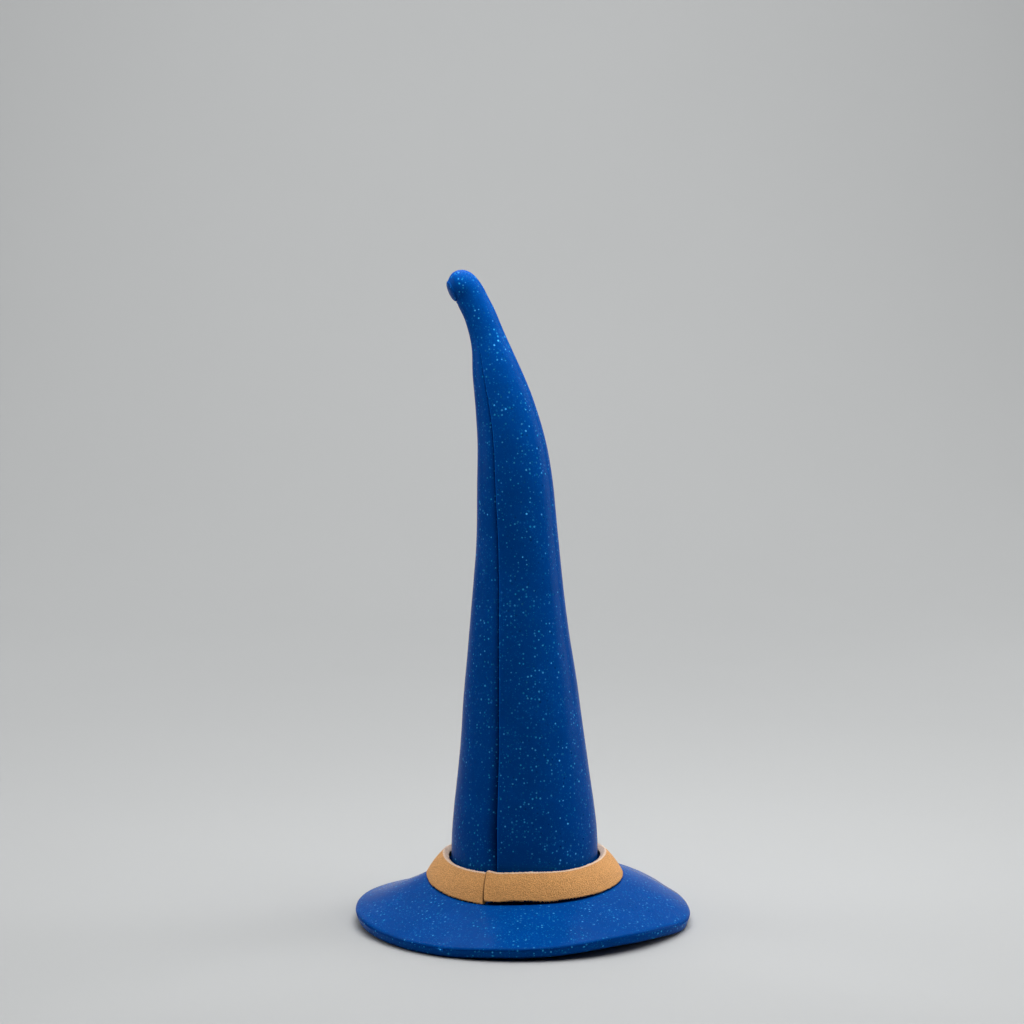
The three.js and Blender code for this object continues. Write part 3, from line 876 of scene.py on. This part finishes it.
def clay_material(name, finish, light, grain_share, dust_share, pit_depth=ROLLED_PITS):
    """Satin blue clay, full of glitter grains and a finer dust of them, with painted shade in the groove beside the
    lap.

    light scales the clay's colour, and the shares scale the brightness of the grains and the dust. The lap's cut edge
    gets its painted highlight from light.
    """
    material, tree, shader = new_material(name)
    spacing, radius = finish.grain_spacing, finish.grain_radius
    grains = place_group(tree, glitter_group(), Spacing=spacing, Radius=radius, Lean=GRAIN_LEAN)
    dust = place_group(
        tree, glitter_group(), Spacing=DUST_SIZE * spacing, Radius=DUST_SIZE * radius, Lean=GRAIN_LEAN
    )
    worked = place_group(tree, worked_group())

    dark, pale = colour(finish.clay, CLAY_DARK * light), colour(finish.clay, CLAY_PALE * light)
    body = mix_colours(tree, worked.outputs["Tone"], dark, pale)
    dust_light = shown(tree, dust, dust_share)
    tint = mix_colours(tree, grains.outputs["Hue"], colour(finish.grain), colour(finish.pale_grain))
    body = mix_colours(tree, dust_light, body, colour(finish.grain))
    # Painted shade: the clay is darkened in the groove beside the lap, by up to three quarters.
    groove = add_node(tree, "ShaderNodeAttribute", {"attribute_name": "groove"}).outputs["Fac"]
    body = mix_colours(tree, math_node(tree, "MULTIPLY", groove, GROOVE_PAINTED_SHADE), body, (0.0, 0.0, 0.0, 1.0))
    grain_light = shown(tree, grains, grain_share)
    body = mix_colours(tree, grain_light, body, tint)
    tree.links.new(body, shader.inputs["Base Color"])
    tree.links.new(math_node(tree, "MULTIPLY", grain_light, 0.2), shader.inputs["Metallic"])
    rough = map_range(tree, worked.outputs["Tone"], 0.0, 1.0, 0.2, 0.26)
    tree.links.new(rough, shader.inputs["Roughness"])
    bump = add_node(tree, "ShaderNodeBump", Strength=1.0, Distance=pit_depth)
    tree.links.new(worked.outputs["Height"], bump.inputs["Height"])
    tree.links.new(grains.outputs["Normal"], bump.inputs["Normal"])
    tree.links.new(bump.outputs["Normal"], shader.inputs["Normal"])
    shader.inputs["Specular IOR Level"].default_value = 0.015
    shader.inputs["Specular Tint"].default_value = (0.3, 0.65, 1.0, 1.0)
    return material


def nap_group():
    """The short nap of suede: its height, and how much of the deep colour shows between the fibres."""
    name = "Suede nap"
    if name in bpy.data.node_groups:
        return bpy.data.node_groups[name]
    group, given, result = new_group(
        name, {"Fibre Size": 0.00012, "Cloud Size": 0.0015}, ("Height", "Deep", "Cloud")
    )
    place = object_point(group)
    fibre_scale = math_node(group, "DIVIDE", 1.0, given.outputs["Fibre Size"])
    cloud_scale = math_node(group, "DIVIDE", 1.0, given.outputs["Cloud Size"])
    fibres = noise_value(group, place, fibre_scale, 4.0, Roughness=0.65, Distortion=0.6)
    tufts = add_node(
        group, "ShaderNodeTexVoronoi", {"voronoi_dimensions": "3D", "feature": "F1"},
        Vector=place, Scale=fibre_scale, Randomness=1.0,
    )
    cloud = noise_value(group, place, cloud_scale, 3.0)
    hollow = map_range(group, tufts.outputs["Distance"], 0.25, 0.75, 0.0, 0.6)
    height = math_node(group, "SUBTRACT", fibres, math_node(group, "MULTIPLY", hollow, 0.5))
    deep = map_range(group, fibres, 0.62, 0.36, 0.0, 0.75)
    deep = math_node(group, "ADD", deep, math_node(group, "MULTIPLY", hollow, 0.35))
    deep = math_node(group, "MINIMUM", deep, 1.0)
    put_out(group, result, Height=height, Deep=deep, Cloud=map_range(group, cloud, 0.3, 0.7, 0.0, 1.0))
    return group


# The height of the nap, in metres, how much darker it is in its clouds, and how dark the hollows are on the top edge
# that is painted pale as a highlight.
NAP_BUMP = 0.00009
NAP_DARK = 0.9
PALE_HOLLOW_SHARE = 0.7


def suede_material(name, nap_colour, hollow_colour, light=1.0):
    """Matt suede. light scales both colours: below 1 it paints shade, as on the strip's cut inner side and ends."""
    material, tree, shader = new_material(name)
    nap = place_group(tree, nap_group())
    dark, pale = colour(nap_colour, NAP_DARK * light), colour(nap_colour, light)
    raised = mix_colours(tree, nap.outputs["Cloud"], dark, pale)
    shade = mix_colours(tree, nap.outputs["Deep"], raised, colour(hollow_colour, light))
    tree.links.new(shade, shader.inputs["Base Color"])
    bump = add_node(tree, "ShaderNodeBump", Strength=1.0, Distance=NAP_BUMP)
    tree.links.new(nap.outputs["Height"], bump.inputs["Height"])
    tree.links.new(bump.outputs["Normal"], shader.inputs["Normal"])
    shader.inputs["Roughness"].default_value = 0.95
    shader.inputs["Specular IOR Level"].default_value = 0.2
    shader.inputs["Sheen Weight"].default_value = 0.08
    shader.inputs["Sheen Roughness"].default_value = 0.6
    return material


def floor_material(finish):
    """Plain pale paper, very slightly mottled."""
    material, tree, shader = new_material("Pale paper")
    mottle = noise_value(tree, object_point(tree), 9.0, 5.0)
    shade = mix_colours(tree, mottle, colour(finish.floor, 0.98), colour(finish.floor, 1.02))
    tree.links.new(shade, shader.inputs["Base Color"])
    shader.inputs["Roughness"].default_value = 0.9
    shader.inputs["Specular IOR Level"].default_value = 0.1
    return material


SENSOR_WIDTH_MM = 36.0
CLIP_START, CLIP_END = 0.01, 20.0


def make_camera(stage):
    """The camera in front of the hat, turned by its pitch and roll."""
    pitch, roll = stage.pitch, stage.roll
    level = Vector((1.0, 0.0, 0.0))
    forward = Vector((0.0, cos(pitch), -sin(pitch)))
    upright = Vector((0.0, sin(pitch), cos(pitch)))
    across = cos(roll) * level + sin(roll) * upright
    up = cos(roll) * upright - sin(roll) * level
    data = bpy.data.cameras.new("camera")
    data.sensor_width = SENSOR_WIDTH_MM
    data.lens = stage.lens
    data.clip_start, data.clip_end = CLIP_START, CLIP_END
    camera = place_object("camera", data)
    turned = Matrix((across, up, -forward)).transposed().to_4x4()
    camera.matrix_world = Matrix.Translation((stage.side, -stage.distance, stage.height)) @ turned
    bpy.context.scene.camera = camera


# The soft lights, in metres. Each takes its power from the stage's setting of its name.
Lamp = namedtuple("Lamp", "name size place aim")
LAMPS = (
    Lamp("overhead", (0.3, 0.3), (0.02, -0.02, 0.32), (0.0, 0.0, 0.0)),
    Lamp("tip_lamp", (0.05, 0.05), (-0.008, -0.012, 0.113), (-0.005, 0.0, 0.06)),
    Lamp("upper_right", (0.08, 0.08), (0.06, -0.01, 0.15), (0.0, 0.0, 0.04)),
    Lamp("right_fill", (0.25, 0.4), (0.42, 0.14, 0.2), (0.0, 0.0, 0.04)),
    Lamp("left_fill", (0.25, 0.4), (-0.42, 0.1, 0.25), (0.0, 0.0, 0.04)),
    Lamp("backdrop", (0.9, 0.15), (0.0, 0.42, 0.62), (0.0, 0.62, 0.15)),
)


def make_light(lamp, power):
    """A soft rectangular light, aimed at a point, that the camera doesn't see."""
    data = bpy.data.lights.new(lamp.name, "AREA")
    data.shape = "RECTANGLE"
    data.size, data.size_y = lamp.size
    data.energy = power
    light = place_object(lamp.name, data)
    light.location = lamp.place
    light.visible_camera = False
    light.rotation_euler = (Vector(lamp.aim) - Vector(lamp.place)).to_track_quat("-Z", "Y").to_euler()


# The backdrop, in metres: a floor that sweeps up into a wall behind the hat.
FLOOR_PLACES = (-1.6, -0.3, 0.0)
SWEEP_START = 0.34
SWEEP_RADIUS = 0.3
WALL_TOP = 1.5
HALF_WIDTH = 1.6
SWEEP_STEPS = 24


def make_backdrop(material):
    """The floor and the wall, as one strip."""
    profile = [(place, 0.0) for place in FLOOR_PLACES]
    for k in range(SWEEP_STEPS + 1):
        angle = 0.5 * np.pi * k / SWEEP_STEPS
        profile.append((SWEEP_START + SWEEP_RADIUS * sin(angle), SWEEP_RADIUS * (1 - cos(angle))))
    profile.append((SWEEP_START + SWEEP_RADIUS, WALL_TOP))
    points, faces = [], []
    for y, z in profile:
        points.extend([(-HALF_WIDTH, y, z), (HALF_WIDTH, y, z)])
    for k in range(len(profile) - 1):
        faces.append([2 * k, 2 * k + 1, 2 * k + 3, 2 * k + 2])
    place_object("backdrop", make_mesh("backdrop", points, faces, material))


WORLD_COLOUR = (0.95, 0.98, 1.0, 1.0)
WORLD_STRENGTH = 0.5


def make_world():
    """A world that the camera sees as one pale grey, and that gives no light."""
    world = bpy.data.worlds.new("pale room")
    world.use_nodes = True
    tree = world.node_tree
    tree.nodes.clear()
    sight = tree.nodes.new("ShaderNodeLightPath").outputs["Is Camera Ray"]
    strength = math_node(tree, "MULTIPLY", sight, WORLD_STRENGTH)
    pale = add_node(tree, "ShaderNodeBackground", Color=WORLD_COLOUR, Strength=strength)
    out = tree.nodes.new("ShaderNodeOutputWorld")
    tree.links.new(pale.outputs[0], out.inputs["Surface"])
    bpy.context.scene.world = world


class WIZARDHAT_OT_stage(bpy.types.Operator):
    """Set up the camera, the soft lights and the pale backdrop"""

    bl_idname = "wizard_hat.stage"
    bl_label = "Stage"

    def execute(self, context):
        stage = context.scene.wizard_hat_stage
        make_camera(stage)
        for lamp in LAMPS:
            make_light(lamp, getattr(stage, lamp.name))
        make_backdrop(floor_material(context.scene.wizard_hat_finish))
        make_world()
        context.scene.view_settings.view_transform = "Standard"
        return {"FINISHED"}


class WIZARDHAT_OT_crown(bpy.types.Operator):
    """Make the rolled clay crown with its lap seam and hooked tip"""

    bl_idname = "wizard_hat.crown"
    bl_label = "Crown"

    def execute(self, context):
        finish = context.scene.wizard_hat_finish
        clay = clay_material("Glitter clay, rolled", finish, light=1.0, grain_share=1.0, dust_share=0.45)
        # The lap's cut edge is a lighter copy of the clay: a painted highlight where the edge catches the light.
        edge = clay_material("Glitter clay, cut edge", finish, light=1.7, grain_share=1.0, dust_share=0.4)
        make_crown(context.scene.wizard_hat_sizes, clay, edge)
        return {"FINISHED"}


class WIZARDHAT_OT_brim(bpy.types.Operator):
    """Make the sloping clay brim with the collar that holds the crown"""

    bl_idname = "wizard_hat.brim"
    bl_label = "Brim"

    def execute(self, context):
        finish = context.scene.wizard_hat_finish
        clay = clay_material(
            "Glitter clay, pressed", finish, light=1.0, grain_share=0.75, dust_share=0.65, pit_depth=PRESSED_PITS
        )
        rim = clay_material(
            "Glitter clay, cut rim", finish, light=1.1, grain_share=2.4, dust_share=0.8, pit_depth=PRESSED_PITS
        )
        make_brim(context.scene.wizard_hat_sizes, clay, rim)
        return {"FINISHED"}


class WIZARDHAT_OT_band(bpy.types.Operator):
    """Make the suede band with its butt joint and frayed lower edge"""

    bl_idname = "wizard_hat.band"
    bl_label = "Suede band"

    def execute(self, context):
        finish = context.scene.wizard_hat_finish
        face = suede_material("Tan suede", finish.suede, finish.suede_deep)
        # The strip's cut inner side and ends are a darker copy of the suede: painted shade for the gap behind the band
        # and the joint.
        cut = suede_material("Cut suede", finish.suede, finish.suede_deep, light=0.5)
        # The top edge is a paler copy of the suede: a painted highlight where it catches the light from above.
        pale_hollows = [PALE_HOLLOW_SHARE * value for value in finish.suede_edge]
        edge = suede_material("Pale suede edge", finish.suede_edge, pale_hollows)
        make_band(context.scene.wizard_hat_sizes, face, cut, edge)
        return {"FINISHED"}


class WIZARDHAT_PT_panel(bpy.types.Panel):
    """Lists the hat's pieces and its settings"""

    bl_idname = "WIZARDHAT_PT_panel"
    bl_label = "Wizard hat"
    bl_space_type = "VIEW_3D"
    bl_region_type = "UI"
    bl_category = "Wizard hat"

    def draw(self, context):
        column = self.layout.column(align=True)
        for operator in OPERATORS:
            column.operator(operator.bl_idname)
        for settings in SETTINGS:
            group = getattr(context.scene, settings)
            box = self.layout.box()
            for name in group.bl_rna.properties.keys():
                if name not in ("rna_type", "name"):
                    box.prop(group, name)


OPERATORS = (WIZARDHAT_OT_stage, WIZARDHAT_OT_crown, WIZARDHAT_OT_brim, WIZARDHAT_OT_band)
SETTINGS = {
    "wizard_hat_sizes": WizardHatSizes,
    "wizard_hat_finish": WizardHatFinish,
    "wizard_hat_stage": WizardHatStage,
}
CLASSES = (*SETTINGS.values(), *OPERATORS, WIZARDHAT_PT_panel)


def register():
    for cls in CLASSES:
        bpy.utils.register_class(cls)
    for name, cls in SETTINGS.items():
        setattr(bpy.types.Scene, name, PointerProperty(type=cls))


def unregister():
    for name in SETTINGS:
        delattr(bpy.types.Scene, name)
    for cls in reversed(CLASSES):
        bpy.utils.unregister_class(cls)


def main():
    register()
    bpy.ops.wizard_hat.stage()
    bpy.ops.wizard_hat.crown()
    bpy.ops.wizard_hat.brim()
    bpy.ops.wizard_hat.band()


if __name__ == "__main__":
    main()
